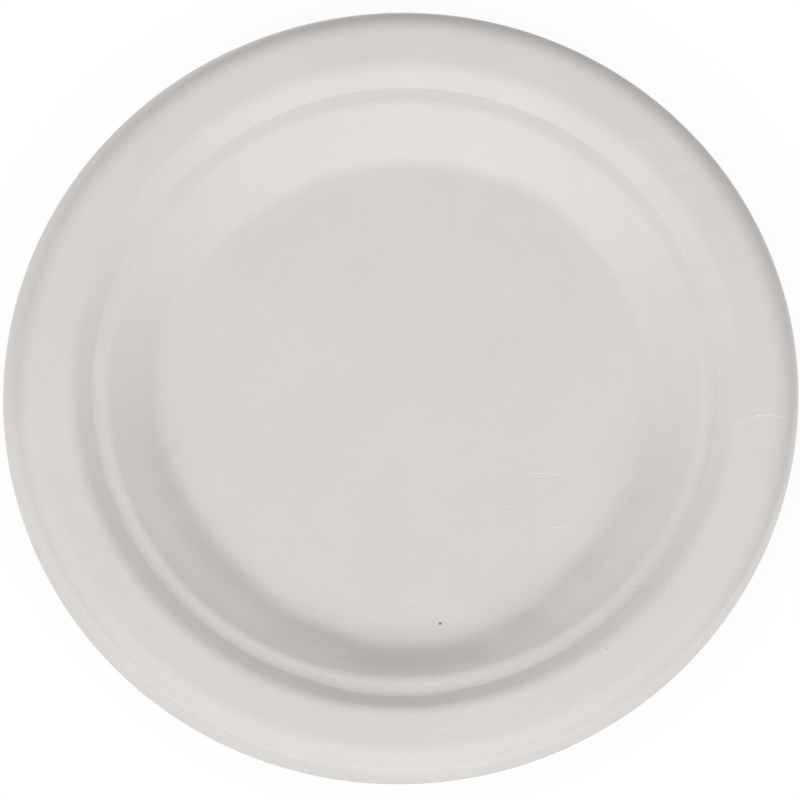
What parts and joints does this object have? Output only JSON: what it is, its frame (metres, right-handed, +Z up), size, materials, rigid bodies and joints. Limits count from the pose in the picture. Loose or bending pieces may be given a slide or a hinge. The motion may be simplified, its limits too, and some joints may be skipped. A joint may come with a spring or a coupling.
{
  "type": "moulded fibre plate",
  "caption": "Round one-piece moulded fibre plate with a flat well, a stepped wall and shelf, a broad rim and a turned-down lip.",
  "frame": {"origin": "where the plate's axis meets the underside of the flat well, which is the face that it rests on", "axes": "+Z up along the plate's axis; the die that trims the brim sits 1.9 mm from that axis, towards -X and -Y"},
  "size_m": [0.229, 0.229, 0.0176],
  "materials": {
    "pulp": "matt pressed plant fibre, natural off-white"
  },
  "bodies": {
    "root": {"plate": "pulp"}
  },
  "joints": []
}
